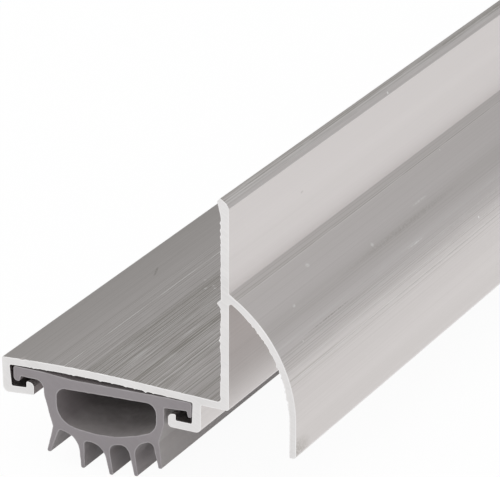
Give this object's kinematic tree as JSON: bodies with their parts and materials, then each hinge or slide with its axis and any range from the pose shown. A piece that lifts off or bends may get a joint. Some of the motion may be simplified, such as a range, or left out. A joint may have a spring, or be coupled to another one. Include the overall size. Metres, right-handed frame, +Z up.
{
  "type": "l-shaped door seal",
  "caption": "L-shaped aluminium door shoe with a drip cap, which wraps a door's bottom edge and holds a finned vinyl insert that seals on the threshold.",
  "frame": {"origin": "on the flange's back face at mid length, half way up its lower flat between the plate and the rib, where it meets the door's outer face", "axes": "+X along the length, +Y from the flange into the door, +Z up; the drip cap and the weather are on the -Y side"},
  "size_m": [0.9144, 0.0594, 0.0574],
  "materials": {
    "mill_aluminium": "satin mill finish with fine lines along the length",
    "grey_vinyl": "matte soft vinyl"
  },
  "bodies": {
    "root": {"door_shoe": "mill_aluminium", "seal_insert": "grey_vinyl"}
  },
  "joints": []
}
